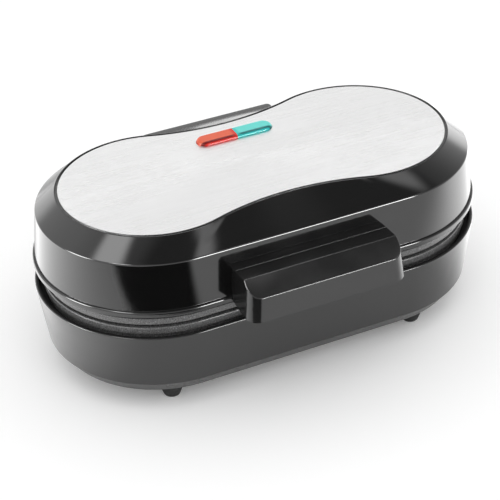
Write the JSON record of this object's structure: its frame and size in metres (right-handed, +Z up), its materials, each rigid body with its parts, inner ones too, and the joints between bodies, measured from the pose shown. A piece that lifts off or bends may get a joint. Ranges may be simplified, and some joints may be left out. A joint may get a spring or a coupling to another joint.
{
  "type": "omelette maker",
  "caption": "Countertop double omelette maker: slot-shaped base and hinged lid with coated cooking wells, a steel inlay on top, a lamp window and a moulded front handle.",
  "frame": {"origin": "on the table, under the middle of the footprint", "axes": "+X along the length to the user's right, +Y to the rear, where the hinge is, +Z up"},
  "size_m": [0.3204, 0.211, 0.1346],
  "materials": {
    "gloss_black": "gloss black moulding",
    "steel_inlay": "fine brushed",
    "coated_plate": "cast, under a speckled dark non-stick coat",
    "element_sheath": "dull heat-stained",
    "sheet_steel": "pressed sheet",
    "zinc_steel": "zinc plated",
    "pin_steel": "turned steel",
    "black_rubber": "matt black rubber",
    "red_lens": "translucent red",
    "teal_lens": "translucent teal",
    "lamp_glass": "clear bulb",
    "holder_white": "natural white",
    "brass": "drawn brass",
    "thermostat_black": "dark phenolic",
    "fuse_metal": "plain case"
  },
  "bodies": {
    "base": {"base_housing": "gloss_black", "base_bottom_cover": "gloss_black", "lower_cooking_plate": "coated_plate", "lower_heating_element": "element_sheath", "lower_reflector": "sheet_steel", "plate_thermostat": "thermostat_black", "thermal_fuse": "fuse_metal", "fuse_strap": "sheet_steel", "terminal_block": "holder_white", "terminal_sleeves": "brass", "cord_outlet_bushing": "black_rubber", "cover_screws": "zinc_steel", "lower_plate_screws": "zinc_steel", "lower_reflector_screws": "zinc_steel", "foot_front_left": "black_rubber", "foot_front_right": "black_rubber", "foot_rear_left": "black_rubber", "foot_rear_right": "black_rubber", "hinge_pin_left": "pin_steel", "hinge_pin_right": "pin_steel"},
    "lid": {"lid_housing": "gloss_black", "top_inlay": "steel_inlay", "red_lens": "red_lens", "teal_lens": "teal_lens", "lamp_holder": "holder_white", "lamp_holder_screws": "zinc_steel", "red_neon_lamp": "lamp_glass", "teal_neon_lamp": "lamp_glass", "upper_cooking_plate": "coated_plate", "upper_heating_element": "element_sheath", "upper_reflector": "sheet_steel", "upper_reflector_screws": "zinc_steel", "upper_plate_screws": "zinc_steel", "handle": "gloss_black", "handle_screws": "zinc_steel"}
  },
  "joints": [
    {"name": "lid_hinge", "type": "hinge", "parent": "base", "child": "lid", "pos_m": [0, 0.098, 0.077], "axis": [-1, 0, 0], "range_deg": [0, 100]}
  ]
}
